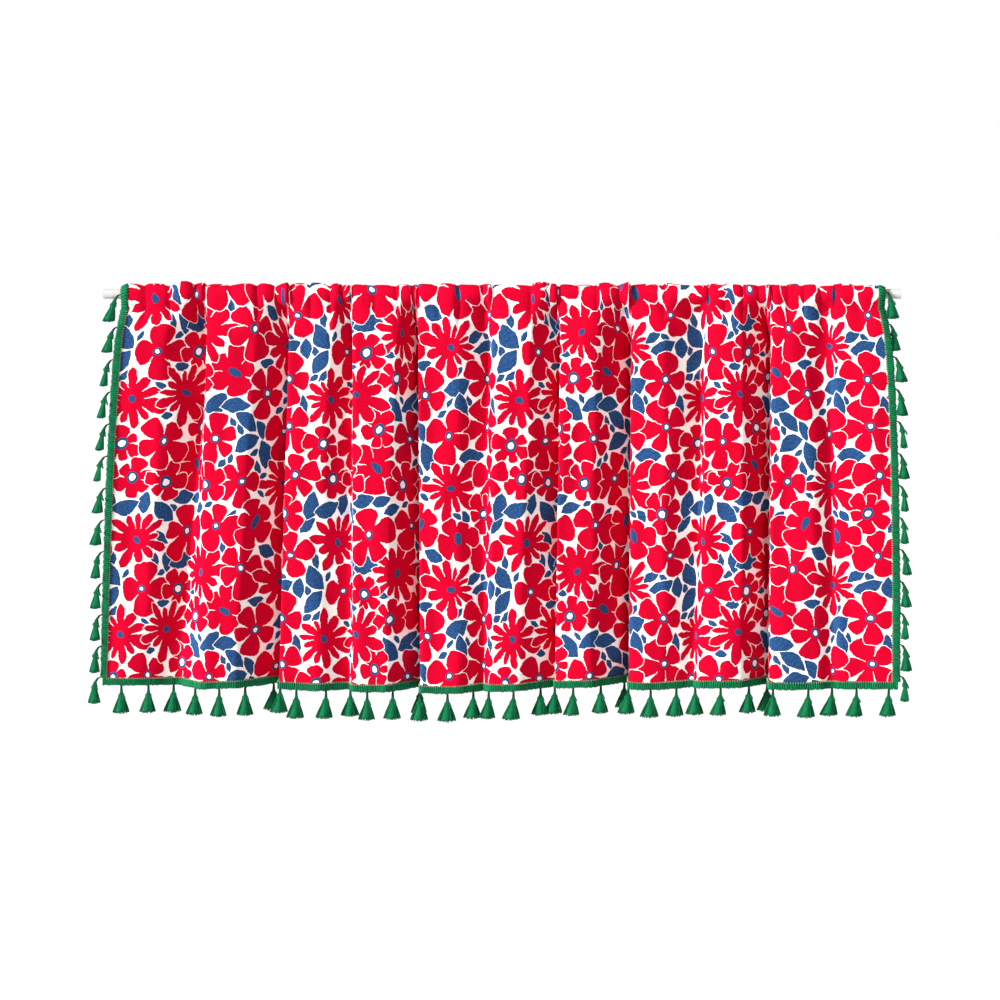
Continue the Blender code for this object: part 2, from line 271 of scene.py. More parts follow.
foldsAtHem = (
    (0.018, 0.038, 0.081, 0.112, 0.038, 1.6),
    (0.000, 0.152, 0.209, 0.205, 0.042, 0.9),
    (0.001, 0.253, 0.291, 0.295, 0.018, 1.8),
    (0.000, 0.333, 0.378, 0.375, 0.040, 1.2),
    (0.002, 0.422, 0.452, 0.458, 0.016, 1.8),
    (0.000, 0.492, 0.540, 0.537, 0.030, 1.2),
    (0.003, 0.580, 0.629, 0.626, 0.043, 1.4),
    (0.001, 0.666, 0.706, 0.710, 0.016, 1.2),
    (0.003, 0.761, 0.797, 0.795, 0.036, 0.8),
    (0.000, 0.856, 0.875, 0.879, 0.012, 2.4),
)
edgesAtRod = (0.024, 0.926)
edgesAtHem = (-0.009, 0.950)
lastFlatFront = 0.004
bendRadii = {"shoulder": 0.0030, "valley": 0.0030, "crease": 0.0022}


def foldCorners(folds, edges):
    # the corners' x and y in plan, left to right, and the radius that each bend is rounded to
    table = dict(zip(foldColumns, np.transpose(folds)))
    fronts = np.append(table["front"], lastFlatFront)
    x = np.column_stack([table["shoulder"], table["valley"], table["crease"]]).ravel()
    y = np.column_stack([fronts[:-1], table["depth"], fronts[1:]]).ravel()
    radii = (table["softness"][:, None] * list(bendRadii.values())).ravel()
    return np.concatenate([[edges[0]], x, [edges[1]]]), np.concatenate([[fronts[0]], y, [fronts[-1]]]), radii


rodCorners = foldCorners(foldsAtRod, edgesAtRod)
hemCorners = foldCorners(foldsAtHem, edgesAtHem)


def cornerPlaces():
    # s of every corner: the length of cloth up to it, halfway down the panel
    x, y = [(a + b) / 2 for a, b in zip(rodCorners[:2], hemCorners[:2])]
    length = np.concatenate([[0], np.cumsum(np.hypot(np.diff(x), np.diff(y)))])
    return cloth["width"] * length / length[-1]


cornerS = cornerPlaces()


def bentLine(s, values, radii):
    # the first straight run carried on, plus each change of slope times a soft ramp, (t + √(t² + r²)) / 2
    slopes = np.diff(values) / np.diff(cornerS)
    t = s[..., None] - cornerS[1:-1]
    return values[0] + slopes[0] * s + ((t + np.sqrt(t * t + radii**2)) / 2) @ np.diff(slopes)


# The ruffles over the rod: wide low ones on the flats, narrow ones where a fold's cloth is gathered. A
# ruffle's height is a share of the whole height, and so is the pinch before it; the heights and pinches vary.
ruffles = {
    "seeds": (11, 12), "raised": (0.0, 0.10), "height": 0.0078, "gatherDepth": 0.0084, "squeeze": 0.25,
    "leastFade": 0.018, "mostFade": 0.055, "fullWidth": 0.014, "leastHeight": 0.45, "lastPinch": 0.2,
    "atLeft": 1.16, "lostByRight": 0.3, "swell": 0.16, "swellLengths": (0.083, 0.31),
    "valleyShares": (0.16, 0.84),
}
wideRuffle = {
    "width": 0.029, "height": (0.40, 0.30), "roundness": 3.4,
    "firstPinch": 0.12, "nextPinch": 0.24, "pinchVaries": 0.14,
}
narrowRuffle = {
    "fewest": 2, "oneMore": 0.3, "width": (0.6, 0.8), "height": (0.52, 0.42), "roundness": 2.4,
    "pinch": (0.10, 0.20),
}

# the corners' x over the rod: most of a fold's cloth lies between its shoulder and its valley
ofShoulder, ofCrease = ruffles["valleyShares"]
gatheredCorners = rodCorners[0].copy()
gatheredCorners[2:-1:3] = ofShoulder * rodCorners[0][1:-1:3] + ofCrease * rodCorners[0][3::3]


def makeRuffles(seed, raised):
    # where each ruffle starts, its height, how round its crest is, how far down it fades, and how deep the
    # pinch before it is
    rng = np.random.default_rng(seed)
    shoulders, creases = cornerS[1:-1:3], cornerS[3:-1:3]
    flatStarts = np.append(0, creases)
    flatEnds = np.append(shoulders, cloth["width"])
    foldEnds = np.append(creases, 0)
    starts, heights, roundness, pinches = [], [], [], []
    for flatStart, flatEnd, foldEnd in zip(flatStarts, flatEnds, foldEnds):
        wide = max(1, round((flatEnd - flatStart) / wideRuffle["width"]))
        number = np.arange(wide)
        starts += list(flatStart + (flatEnd - flatStart) * number / wide)
        heights += list(varied(wideRuffle["height"], rng.random(wide)) + raised)
        roundness += [wideRuffle["roundness"]] * wide
        pinch = np.where(number == 0, wideRuffle["firstPinch"], wideRuffle["nextPinch"])
        pinches += list(pinch + wideRuffle["pinchVaries"] * rng.random(wide))
        if foldEnd == 0:
            break
        narrow = narrowRuffle["fewest"] + int(rng.random() < narrowRuffle["oneMore"])
        parts = np.cumsum(np.append(0, varied(narrowRuffle["width"], rng.random(narrow))))
        starts += list(flatEnd + (foldEnd - flatEnd) * parts[:-1] / parts[-1])
        heights += list(varied(narrowRuffle["height"], rng.random(narrow)))
        roundness += [narrowRuffle["roundness"]] * narrow
        pinches += list(varied(narrowRuffle["pinch"], rng.random(narrow)))
    fades = ruffles["leastFade"] + (ruffles["mostFade"] - ruffles["leastFade"]) * rng.random(len(starts))
    pinches = np.append(pinches, ruffles["lastPinch"])
    starts = np.append(starts, cloth["width"])
    across = np.diff(np.interp(starts, cornerS, gatheredCorners))
    # a narrow ruffle doesn't stand as high
    heights = heights * np.clip(across / ruffles["fullWidth"], ruffles["leastHeight"], 1)
    return {"starts": starts, "heights": heights, "fades": fades,
            "roundness": np.array(roundness), "pinches": pinches}


frontRuffles, backRuffles = [makeRuffles(*pair) for pair in zip(ruffles["seeds"], ruffles["raised"])]


def ruffle(s, table):
    # 1 - |2u - 1|^p across each ruffle, u from 0 to 1: a rounded crest between the pinches at its ends.
    # Returns its height there, from 0 to about 1, then u, the number of the ruffle and its fade.
    k = np.clip(np.searchsorted(table["starts"], s, side="right") - 1, 0, len(table["heights"]) - 1)
    start, end = table["starts"][k], table["starts"][k + 1]
    u = np.clip((s - start) / (end - start), 0, 1)
    crest = 1 - np.abs(2 * u - 1) ** table["roundness"][k]
    pinch = mixed(table["pinches"][k], table["pinches"][k + 1], u)
    swell = ruffles["swell"] * waver(s, ruffles["swellLengths"], 2)
    height = table["heights"][k] * (ruffles["atLeft"] - ruffles["lostByRight"] * s / cloth["width"] + swell)
    return pinch + (height - pinch) * crest, u, k, table["fades"][k]


def gatheredX(s):
    # over the rod: flats keep their width, and each fold's cloth is gathered, slow through each pinch and
    # quick over each crest
    _, u, k, _ = ruffle(s, frontRuffles)
    starts = frontRuffles["starts"]
    moved = starts[k] + (starts[k + 1] - starts[k]) * (u - ruffles["squeeze"] * np.sin(2 * pi * u) / (2 * pi))
    isNarrow = frontRuffles["roundness"][k] < wideRuffle["roundness"]
    return np.interp(np.where(isNarrow, moved, s), cornerS, gatheredCorners)


edgeBulge = {"left": -0.0062, "right": 0.0080, "reach": 0.09, "height": 0.6}


def bulge(s, share):
    # the side edges bow by 4h(1 - h) of their bulge, with h the share of the drop to a power, fading inwards
    nearLeft = smooth(1 - s / edgeBulge["reach"])
    nearRight = smooth(1 - (cloth["width"] - s) / edgeBulge["reach"])
    high = share ** edgeBulge["height"]
    return 4 * high * (1 - high) * (nearLeft * edgeBulge["left"] + nearRight * edgeBulge["right"])


# How much lower the hem hangs at the middle of each flat and at each fold's valley, from the left
hemDrops = {
    "flats": (-0.0018, -0.0002, 0.0021, 0.0045, 0.0067, 0.0036, -0.0012, 0.0018, -0.0007, 0.0014, 0.0010),
    "valleys": (0.0008, -0.0020, 0.0031, 0.0028, 0.0040, 0.0012, -0.0024, 0.0000, -0.0012, 0.0003),
    "reach": 0.016, "steps": 9,
}
dropPlaces = np.append((cornerS[0::3] + cornerS[1::3]) / 2, cornerS[2:-1:3])
dropOrder = np.argsort(dropPlaces)


def hemDrop(s):
    # straight lines between the drops, averaged over the cloth on both sides, which rounds their corners
    drops = np.append(hemDrops["flats"], hemDrops["valleys"])[dropOrder]
    around = np.linspace(-hemDrops["reach"], hemDrops["reach"], hemDrops["steps"])
    return np.mean([np.interp(s + away, dropPlaces[dropOrder], drops) for away in around], axis=0)


# Slight dents and swellings of the cloth: each wave's length across and down, its height and its start
ripples = {
    "waves": (
        (0.310, 0.90, 0.0010, 0.4), (0.118, 0.55, 0.0011, 2.1), (0.067, 0.38, 0.0008, 4.0),
        (0.041, 0.27, 0.0004, 1.3), (0.027, 0.19, 0.0002, 5.1),
    ),
    "lean": 1.7, "stiffEdge": 0.03, "stiffTop": 0.05,
}


def ripple(s, below):
    # a sum of sine waves across the cloth, each leaning by a sine of the way down, kept off the stiff edges
    total = 0.0
    for length, drift, height, start in ripples["waves"]:
        lean = ripples["lean"] * np.sin(2 * pi * below / drift + start)
        total = total + height * np.sin(2 * pi * s / length + lean + start)
    sides = smooth(s / ripples["stiffEdge"]), smooth((cloth["width"] - s) / ripples["stiffEdge"])
    return total * sides[0] * sides[1] * smooth(below / ripples["stiffTop"])


def bodyPoint(s, v):
    # the hanging cloth, for v from 0 at the hem to the drop at the stitching: x and y go from the gathers at
    # the stitching to the folds below, which run straight from their plan at the rod to their plan at the hem
    share = 1 - v / drop
    below = share * (drop + hemDrop(s))
    foldX, foldY = [
        mixed(bentLine(s, atRod, rodCorners[2]), bentLine(s, atHem, hemCorners[2]), share)
        for atRod, atHem in zip(rodCorners[:2], hemCorners[:2])
    ]
    crest, _, _, fade = ruffle(s, frontRuffles)
    spread = smooth(below / cloth["gatherFade"])
    grown = smooth(below / cloth["foldGrowth"])
    growth = cloth["foldShareAtSeam"] + (1 - cloth["foldShareAtSeam"]) * grown
    front = cloth["frontAtSeam"] + (cloth["frontBelow"] - cloth["frontAtSeam"]) * grown
    depth = ruffles["gatherDepth"] * (1 - smooth(below / fade))
    x = mixed(gatheredX(s), foldX, spread) + bulge(s, share)
    y = front + growth * foldY - depth * (crest - 0.5) + ripple(s, below)
    return np.stack([x, y, cloth["seamZ"] - below], -1)


# The pocket: how loosely it goes round the rod, how its back's ruffles are shifted along, the angle where
# they take over from the front's, the dip along its top, and where its back ends behind the seam
pocket = {
    "slack": 0.0016, "backShift": 0.004, "turnStart": 1.2, "turnLength": 0.9,
    "dip": 0.0026, "dipWidth": 0.26, "backY": 0.0016, "backZ": 0.0012,
}


def pocketPoint(s, share):
    # round the rod from the stitching and back to it: a straight run up to the circle, round it, and a
    # straight run down; the circle's radius swells with the ruffles
    seam = bodyPoint(s, np.full_like(s, drop))
    seamY, seamZ = seam[..., 1], seam[..., 2]
    far = np.hypot(seamY, seamZ)
    seamAngle = np.arctan2(seamZ, -seamY)  # up from the front, so below it is negative
    tight = rodRadius + pocket["slack"]
    radiusFront = tight + ruffles["height"] * ruffle(s, frontRuffles)[0]
    radiusBack = tight + ruffles["height"] * ruffle(s + pocket["backShift"], backRuffles)[0]
    turnFront = np.arccos(np.clip(radiusFront / far, 0, 1))
    turnBack = np.arccos(np.clip(radiusBack / far, 0, 1))
    first, last = seamAngle + turnFront, seamAngle + 2 * pi - turnBack
    rise, fall = far * np.sin(turnFront), far * np.sin(turnBack)
    arcLength = (last - first) * (radiusFront + radiusBack) / 2
    place = share * (rise + arcLength + fall)
    arc = np.clip((place - rise) / arcLength, 0, 1)
    angle = first + (last - first) * arc
    toBack = smooth((angle - pocket["turnStart"]) / pocket["turnLength"])
    dip = pocket["dip"] * np.exp(-(((angle - pi / 2) / pocket["dipWidth"]) ** 2))
    radius = radiusFront + (radiusBack - radiusFront) * toBack - dip
    y, z = -radius * np.cos(angle), radius * np.sin(angle)
    goingUp = np.clip(place / rise, 0, 1)
    goingDown = np.clip((place - rise - arcLength) / fall, 0, 1)
    y = mixed(mixed(seamY, y, goingUp), seamY + pocket["backY"], goingDown)
    z = mixed(mixed(seamZ, z, goingUp), seamZ + pocket["backZ"], goingDown)
    return np.stack([seam[..., 0], y, z], -1)


def clothPoint(s, v):
    # the middle of the cloth's thickness, hanging below the stitching and going round the rod above it
    s, v = np.broadcast_arrays(np.asarray(s, float), np.asarray(v, float))
    body = bodyPoint(s, np.minimum(v, drop))
    over = pocketPoint(s, np.clip((v - drop) / cloth["pocketLength"], 0, 1))
    return np.where((v > drop)[..., None], over, body)


def clothNormal(s, v):
    # square to the cloth, out of its printed side
    step = 0.0004
    s, v = np.broadcast_arrays(np.asarray(s, float), np.asarray(v, float))
    s = np.clip(s, step, cloth["width"] - step)
    v = np.clip(v, step, clothLength - step)
    along = clothPoint(s + step, v) - clothPoint(s - step, v)
    up = clothPoint(s, v + step) - clothPoint(s, v - step)
    return unit(np.cross(along, up))


# The cloth's grid: how many places across, down and round the pocket, and how much closer they are at a bend,
# a pinch and the seam, and how far from it
gridding = {
    "columns": 470, "bodyRows": 74, "pocketRows": 30, "closer": 2.2, "fineSteps": 6000,
    "atBend": 0.007, "atPinch": 0.0035, "atSeam": 0.060,
}


def spreadPlaces(length, count, centres, widths):
    # count places along the length, at a density of 1 plus bell curves at the centres
    fine = np.linspace(0, length, gridding["fineSteps"])
    bells = np.exp(-((fine[:, None] - centres) / widths) ** 2).sum(1).clip(0, 1)
    density = 1 + gridding["closer"] * bells
    total = np.concatenate([[0], np.cumsum((density[1:] + density[:-1]) / 2)])
    return np.interp(np.linspace(0, total[-1], count), total, fine)


def clothGrid():
    bends, pinches = cornerS[1:-1], frontRuffles["starts"]
    widths = np.repeat([gridding["atBend"], gridding["atPinch"]], [len(bends), len(pinches)])
    s = spreadPlaces(cloth["width"], gridding["columns"], np.concatenate([bends, pinches]), widths)
    body = spreadPlaces(drop, gridding["bodyRows"], np.array([drop]), np.array([gridding["atSeam"]]))
    over = drop + np.linspace(0, cloth["pocketLength"], gridding["pocketRows"] + 1)[1:]
    return s, np.concatenate([body, over])


# The print: flowers and leaves scattered at random, and the same again in every repeat
printRepeat = {"seed": 5, "width": cloth["width"] / 4, "height": 0.286, "rise": 0.036}
crowd = {
    "rounds": 900, "crowding": 1.06, "push": 0.12, "leaves": 25, "leafRoom": 0.0140, "sizes": (0.93, 0.14),
}
leafForm = {
    "length": 0.0190, "sizes": (1.0, 0.88, 0.76), "small": (0.0125, 0.0100, 0.0080), "width": (0.50, 0.14),
    "bend": 0.5, "turns": 12, "likeLong": 0.45, "most": 60, "leastGap": 0.0030, "gapStep": 0.0026,
}
flowerColumns = ("count", "reach", "petals", "valley", "roundness", "core", "eye", "squash")
flowerKinds = {
    "daisy": (6, 0.0370, 12, 0.56, 5.0, 0.0050, 0.0, 1.8),
    "fivePetal": (9, 0.0328, 5, 0.48, 5.0, 0.0056, 0.0029, 1.2),
    "fourPetal": (4, 0.0322, 4, 0.46, 4.4, 0.0052, 0.0026, 1.3),
    "sixPetal": (8, 0.0250, 6, 0.64, 4.6, 0.0072, 0.0041, 1.1),
    "poppy": (4, 0.0300, 5, 0.74, 4.6, 0.0088, 0.0, 4.0),
}
motifKeys = (
    "x", "y", "turn", "reach", "petals", "valley", "roundness", "squash", "core", "eye", "leaf", "phase",
)
whiteEdge = 0.0008  # the unprinted line round every motif
petalForm = {
    "sway": 0.22, "oneSided": 0.09, "lengths": 0.12, "roots": 0.26, "pointedFrom": 7, "mostPointed": 0.42,
    "line": 0.0004, "fewerLines": 0.35, "lineFade": 0.02,
}


def motifDistance(maths, x, y, m):
    # How deep (x, y) lies inside a motif, negative outside it.
    # Flower: its edge is reach times (1 - (1 - valley) |2t|^roundness), t from -1/2 to 1/2 across a petal,
    # with the power partly a plain |2t| where there are many petals, which points them. The depth is edge
    # less radius, over the steepness of the edge, or the depth inside the disc that the petals grow from.
    # Sway and a cosine make one side's petals broader and longer, and a sine of the petal's number makes each
    # its own length. A line parts some petals from the next, outside the eye.
    # Leaf: its half width shrinks with the square of the way to its tips, about a bent midrib. Reach, petals
    # and valley stand for a leaf's half length, half width and bend.
    dx, dy = x - m["x"], y - m["y"]
    radius = maths.sqrt(dx * dx + dy * dy) + 1e-5
    angle = maths.arctan2(dy, dx) - m["turn"]
    turned = angle - 2 * pi * maths.floor(angle / (2 * pi) + 0.5)
    uneven = turned + petalForm["sway"] * maths.sin(turned + m["phase"] * 1.7)
    sector = uneven * m["petals"] / (2 * pi)
    nearest = maths.floor(sector + 0.5)
    across = maths.minimum(maths.abs(sector - nearest) * 2, 1.0)
    petal = nearest - m["petals"] * maths.floor(nearest / m["petals"] + 0.001)
    manyPetals = maths.maximum(m["petals"] - petalForm["pointedFrom"], 0.0)
    pointed = maths.minimum(manyPetals * 0.1, petalForm["mostPointed"])
    ownLength = (petalForm["lengths"] + pointed * 0.15) * maths.sin(petal * 2.4 + m["phase"])
    grown = m["reach"] * (1 + ownLength + petalForm["oneSided"] * maths.cos(turned))
    root = m["valley"] * (1 + petalForm["roots"] * maths.sin(petal * 3.7 + m["phase"] * 2))
    edge = grown * (1 - (1 - root) * (pointed * across + (1 - pointed) * maths.power(across, m["roundness"])))
    slope = pointed + (1 - pointed) * m["roundness"] * maths.power(across, m["roundness"] - 1)
    slope = slope * grown * (1 - root) * m["petals"] / pi
    steep = slope / radius
    flower = maths.maximum((edge - radius) / maths.sqrt(1 + steep * steep), grown * root - radius)
    between = maths.floor(sector)
    between = between - m["petals"] * maths.floor(between / m["petals"] + 0.001)
    noLine = maths.maximum(maths.sin(between * 2.1 + m["phase"] * 3) + petalForm["fewerLines"], 0.0)
    toLine = (1 - across) * radius * pi / m["petals"] + noLine * petalForm["lineFade"] + pointed * 0.03
    toLine = toLine + maths.maximum(m["core"] * 1.5 - radius, 0.0)
    flower = maths.minimum(flower, toLine + whiteEdge - petalForm["line"])
    cosine, sine = maths.cos(m["turn"]), maths.sin(m["turn"])
    along = (dx * cosine + dy * sine) / m["reach"]
    aside = dy * cosine - dx * sine
    body = 1 - along * along
    leaf = m["petals"] * body - maths.abs(aside - m["valley"] * body)
    leafSlope = 2 * m["petals"] * along / m["reach"]
    leaf = leaf / maths.sqrt(1 + leafSlope * leafSlope)
    return flower + (leaf - flower) * m["leaf"]


def coreDistance(maths, x, y, m):
    # how far out in the flower's eye, which is squashed square to the way the flower is turned
    dx, dy = x - m["x"], y - m["y"]
    cosine, sine = maths.cos(m["turn"]), maths.sin(m["turn"])
    along, aside = dx * cosine + dy * sine, dy * cosine - dx * sine
    return maths.sqrt(along * along + aside * aside * m["squash"])


def wrapped(difference, size):
    # the shortest way from one place to another, over the repeat's edge where that is nearer
    return difference - size * np.round(difference / size)


def layFlowers():
    # flowers scattered over one repeat, with room for leaves among them, pushed apart until they crowd each
    # other evenly; returns the flowers and the places of the leaves
    rng = np.random.default_rng(printRepeat["seed"])
    size = np.array([printRepeat["width"], printRepeat["height"]])
    rows = []
    for row in flowerKinds.values():
        rows += [row] * row[0]
    table = dict(zip(flowerColumns, np.transpose(rows)))
    count, leaves = len(rows), crowd["leaves"]
    room = np.append(table["reach"], np.full(leaves, crowd["leafRoom"]))
    places = rng.random((count + leaves, 2)) * size
    crowding = crowd["crowding"] * np.sqrt(size.prod() / (pi * (room**2).sum()))
    wanted = (room[:, None] + room) * crowding
    itself = np.eye(count + leaves)
    for _ in range(crowd["rounds"]):
        gap = wrapped(places[:, None] - places[None], size)
        apart = np.linalg.norm(gap, axis=2) + itself
        push = np.maximum(wanted - apart, 0) * (1 - itself)
        places = (places + crowd["push"] * (gap / apart[..., None] * push[..., None]).sum(1)) % size
    motifs = {key: table[key].astype(float) for key in motifKeys if key in table}
    motifs["x"], motifs["y"] = places[:count].T
    motifs["turn"], motifs["phase"] = rng.random(count) * 2 * pi, rng.random(count) * 6
    motifs["reach"] = motifs["reach"] * varied(crowd["sizes"], rng.random(count))
    motifs["leaf"] = np.zeros(count)
    order = rng.permutation(count)
    return {key: motifs[key][order] for key in motifKeys}, places[count:]


def oneMotif(motifs, number):
    return {key: values[number] for key, values in motifs.items()}


def gapsLeft(motifs, x, y):
    # how far each place is from the nearest motif, taking the repeat's neighbours into account
    best = np.full(x.shape, -1.0)
    for number in range(len(motifs["x"])):
        m = oneMotif(motifs, number)
        dx = wrapped(x - m["x"], printRepeat["width"])
        dy = wrapped(y - m["y"], printRepeat["height"])
        best = np.maximum(best, motifDistance(np, m["x"] + dx, m["y"] + dy, m))
    return -best


def layLeaves(flowers, spots):
    # A leaf at each of the spots, in the length and turn that shows most of it, then small ones in the
    # largest gaps left. Flowers lie over the leaves.
    rng = np.random.default_rng(printRepeat["seed"] + 1)
    step = leafForm["gapStep"]
    x, y = np.meshgrid(np.arange(0, printRepeat["width"], step), np.arange(0, printRepeat["height"], step))
    gap = gapsLeft(flowers, x, y)
    inLeaf = np.array([(a, b) for a in np.linspace(-0.9, 0.9, 9) for b in (-0.6, 0.0, 0.6)])
    leaves = {key: [] for key in motifKeys}
    for number in range(leafForm["most"]):
        if number < len(spots):
            middle = spots[number]
            halves = leafForm["length"] * np.array(leafForm["sizes"])
        else:
            spot = np.unravel_index(np.argmax(gap), gap.shape)
            if gap[spot] < leafForm["leastGap"]:
                break
            middle = (x[spot], y[spot])
            halves = leafForm["small"]
        fits = []
        for half in halves:
            wide = half * varied(leafForm["width"], rng.random())
            for turn in rng.random() * pi + np.arange(leafForm["turns"]) * pi / leafForm["turns"]:
                along, aside = inLeaf[:, 0] * half, inLeaf[:, 1] * wide * (1 - inLeaf[:, 0] ** 2)
                atX = middle[0] + along * cos(turn) - aside * sin(turn)
                atY = middle[1] + along * sin(turn) + aside * cos(turn)
                column = np.round(atX / step).astype(int) % gap.shape[1]
                row = np.round(atY / step).astype(int) % gap.shape[0]
                shown = (gap[row, column] > 0).mean()
                fits.append((shown + half / halves[0] * leafForm["likeLong"], half, wide, turn))
        _, half, wide, turn = max(fits)
        bend = half * leafForm["bend"] * (rng.random() - 0.5)
        values = (*middle, turn, half, wide, bend, 1.0, 1.0, 0.0, 0.0, 1.0, 0.0)
        for key, value in zip(motifKeys, values):
            leaves[key].append(value)
        newest = {key: np.array(leaves[key][-1:]) for key in motifKeys}
        gap = np.minimum(gap, gapsLeft(newest, x, y))
    return {key: np.array(values) for key, values in leaves.items()}


def layPrint():
    # every motif of one repeat, on top of each other in this order, then the repeats that the cloth needs
    flowers, spots = layFlowers()
    leaves = layLeaves(flowers, spots)
    one = {key: np.concatenate([flowers[key], leaves[key]]) for key in motifKeys}
    count = len(one["x"])
    shifts = [(i, j) for i in range(-1, 5) for j in range(-1, 3)]
    everywhere = {key: np.concatenate([one[key] for _ in shifts]) for key in motifKeys}
    aside, up = np.repeat(shifts, count, axis=0).T
    everywhere["x"] = everywhere["x"] + aside * printRepeat["width"]
    everywhere["y"] = everywhere["y"] + up * printRepeat["height"] + printRepeat["rise"]
    order = np.argsort(np.tile(np.arange(count), len(shifts)), kind="stable")
    return {key: values[order] for key, values in everywhere.items()}


# How many motifs a face of the cloth can show, how far a motif may reach past its own reach, the depth it has
# to come within to show in a face, and the depth at which it hides whatever lies under it
layers = 4
onFace = {"longer": 1.15, "margin": 0.002, "shows": -0.0022, "hides": 0.0030}


def motifsOfFaces(motifs, s, v):
    # for every face of the cloth's grid, the motifs that show in it, topmost first
    middle = [(a[1:] + a[:-1]) / 2 for a in (s, v)]
    half = [(a[1:] - a[:-1]) / 2 for a in (s, v)]
    faceY, faceX = [a.ravel() for a in np.meshgrid(middle[1], middle[0], indexing="ij")]
    halfY, halfX = [a.ravel() for a in np.meshgrid(half[1], half[0], indexing="ij")]
    found = []
    hidden = np.zeros(len(faceX), bool)
    for number in range(len(motifs["x"])):
        m = oneMotif(motifs, number)
        reach = m["reach"] * onFace["longer"] + onFace["margin"]
        near = (abs(faceX - m["x"]) < reach + halfX) & (abs(faceY - m["y"]) < reach + halfY)
        near = np.flatnonzero(near & ~hidden)
        if not len(near):
            continue
        most, least = np.full(len(near), -1.0), np.full(len(near), 1.0)
        for i in (-1, 0, 1):
            for j in (-1, 0, 1):
                x, y = faceX[near] + i * halfX[near], faceY[near] + j * halfY[near]
                depth = motifDistance(np, x, y, m)
                most, least = np.maximum(most, depth), np.minimum(least, depth)
        shows = most > onFace["shows"]
        hidden[near[least > onFace["hides"]]] = True
        found.append(np.column_stack([near[shows], np.full(shows.sum(), number), most[shows]]))
    found = np.concatenate(found)
    found = found[np.lexsort((-found[:, 2], found[:, 0]))]
    face = found[:, 0].astype(int)
    rank = np.arange(len(face)) - np.searchsorted(face, face)
    chosen = np.full((len(faceX), layers), len(motifs["x"]))
    kept = rank < layers
    chosen[face[kept], rank[kept]] = found[kept, 1]
    return np.sort(chosen, axis=1)


# the faces carry each motif's values in threes, and a layer without a motif gets one that is far away
printGroups = (
    ("x", "y", "turn"), ("reach", "petals", "valley"), ("roundness", "squash", "core"),
    ("eye", "leaf", "phase"),
)
noMotif = dict(zip(motifKeys, (9.0, 9.0, 0, 0.001, 4, 0.5, 2, 1, 0, 0, 0, 0)))

# The inks' rims are shares of their colours. Wobble and ragged are the scale, detail and reach of what moves
# the printed edges; slubs are the threads' thick places, long and short.
inks = {
    "red": (0.515, 0.0020, 0.022), "blue": (0.020, 0.064, 0.175), "white": (0.90, 0.885, 0.87),
    "dullWhite": (0.80, 0.76, 0.72), "reverse": (0.84, 0.80, 0.79),
    "redRim": 0.72, "blueRim": 0.62, "rimWidth": 0.0006, "blueMottle": 0.26,
    "wobble": (70.0, 3.0, 0.0060), "ragged": (330.0, 1.0, 0.0012),
}
weave = {
    "grain": 420.0, "grainContrast": 2.4, "grainShare": 0.85, "grainDark": 0.37, "grainLight": 0.62,
    "mottle": 38.0, "thread": 0.00062, "slubs": (900, 120), "relief": 0.00012,
}


def shaded(colour, share):
    return tuple(c * share for c in colour)


def printedCotton(name, reverse=False):
    # the print, worked out at each place from the motifs that its face names, with a woven ground
    m = Finish(name, roughness=0.95, specular=0.0)
    flat = m.node("UVMap", {"uv_map": "flat"})
    placeX, placeY, _ = m.parts(flat)
    x, y = placeX, placeY
    for scale, detail, reach in (inks["wobble"], inks["ragged"]):
        shiftX, shiftY, _ = m.parts(m.noise(flat, scale, detail, output="Color"))
        x, y = x + (shiftX - 0.5) * reach, y + (shiftY - 0.5) * reach
    grain = (m.noise(flat, weave["grain"]) - 0.5) * weave["grainContrast"] + 0.5
    mottle = m.noise(flat, weave["mottle"], 3.0)
    ground = m.blend(mottle * 0.10, inks["white"], inks["dullWhite"])
    thickBlue, thinBlue = [shaded(inks["blue"], 1 + sign * inks["blueMottle"]) for sign in (-1, 1)]
    mottledBlue = m.blend(grain, thickBlue, thinBlue)
    colour = ground
    for layer in reversed(range(layers)):
        motif = {}
        for number, keys in enumerate(printGroups):
            values = m.node("Attribute", {"attribute_name": f"motif{layer}{number}"}, output="Vector")
            motif.update(zip(keys, m.parts(values)))
        depth = motifDistance(m.maths, x, y, motif)
        radius = coreDistance(m.maths, x, y, motif)
        rim = m.maths.maximum(1 - m.maths.minimum((depth - whiteEdge) / inks["rimWidth"], 1.0), 0.0)
        red = m.blend(rim, inks["red"], shaded(inks["red"], inks["redRim"]))
        blue = m.blend(rim, mottledBlue, shaded(inks["blue"], inks["blueRim"]))
        ink = m.blend(motif["leaf"], red, blue)
        ink = m.blend(depth > whiteEdge, ground, ink)
        ink = m.blend(radius < motif["core"], ink, inks["blue"])
        ink = m.blend(radius < motif["eye"], ink, ground)
        colour = m.blend(depth > 0.0, colour, ink)
    grainColour = m.blend(grain, (weave["grainDark"],) * 3, (weave["grainLight"],) * 3)
    colour = m.blend(weave["grainShare"], colour, grainColour, "SOFT_LIGHT")
    if reverse:
        colour = m.blend(0.5 + mottle * 0.12, colour, inks["reverse"])
    m.feed("Base Color", colour)
    thread = 2 * pi / weave["thread"]
    warp, weft = m.maths.sin(placeX * thread), m.maths.sin(placeY * thread)
    short, long = weave["slubs"]
    slubs = m.noise(m.vector(placeX * short, placeY * long), 1.0, 1.0)
    slubs = slubs + m.noise(m.vector(placeX * long, placeY * short), 1.0, 1.0)
    m.bump(warp * weft * 0.35 + slubs * 0.8, weave["relief"])
    return m.material


